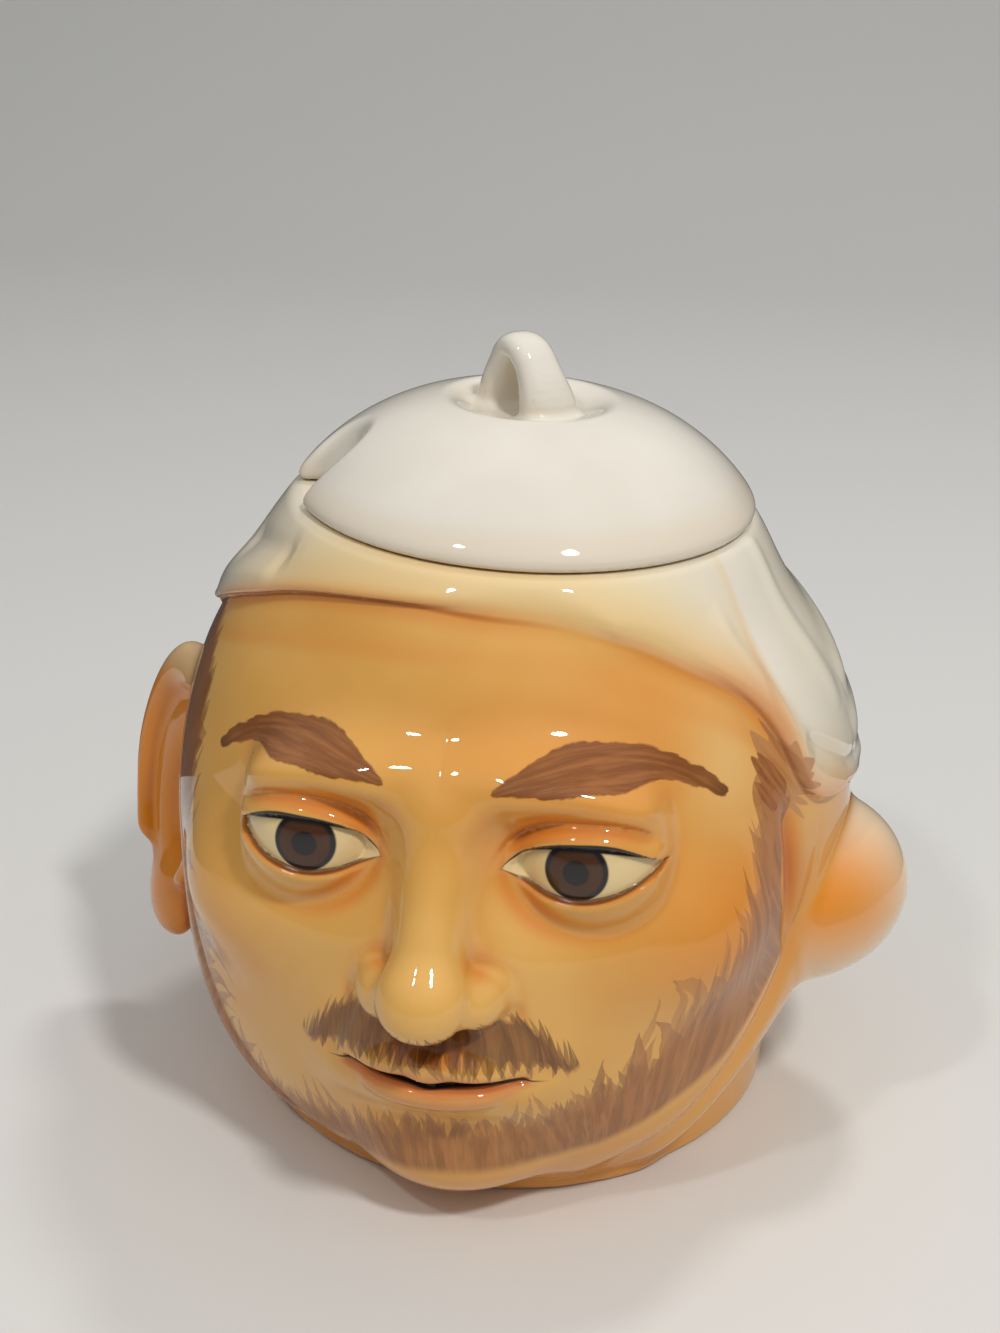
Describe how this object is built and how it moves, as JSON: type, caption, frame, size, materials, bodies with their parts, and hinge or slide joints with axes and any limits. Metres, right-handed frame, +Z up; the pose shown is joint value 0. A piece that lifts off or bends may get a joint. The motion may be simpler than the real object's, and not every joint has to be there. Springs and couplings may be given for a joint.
{
  "type": "head-shaped condiment jar",
  "caption": "Glazed ceramic head jar with a kerchief, a lift-off domed lid with a strap loop, and a notch for a spoon handle.",
  "frame": {"origin": "middle of the flat base, under the upright axis of the head", "axes": "+Z up, the face looks along -Y, +X is on the right of someone who looks at the face"},
  "size_m": [0.1136, 0.1034, 0.107],
  "materials": {
    "skin_glaze": "clear gloss glaze over airbrushed and brushed colour",
    "cloth_glaze": "clear gloss glaze over a warm white body"
  },
  "bodies": {
    "jar": {"jar_body": "skin_glaze", "ear": "skin_glaze", "scarf_knot": "cloth_glaze"},
    "lid": {"lid_dome": "cloth_glaze", "lid_collar": "cloth_glaze", "lid_loop": "cloth_glaze"}
  },
  "joints": [
    {"name": "lid_lift", "type": "slide", "parent": "jar", "child": "lid", "axis": [0, 0, 1], "range_m": [0, 0.06]}
  ]
}
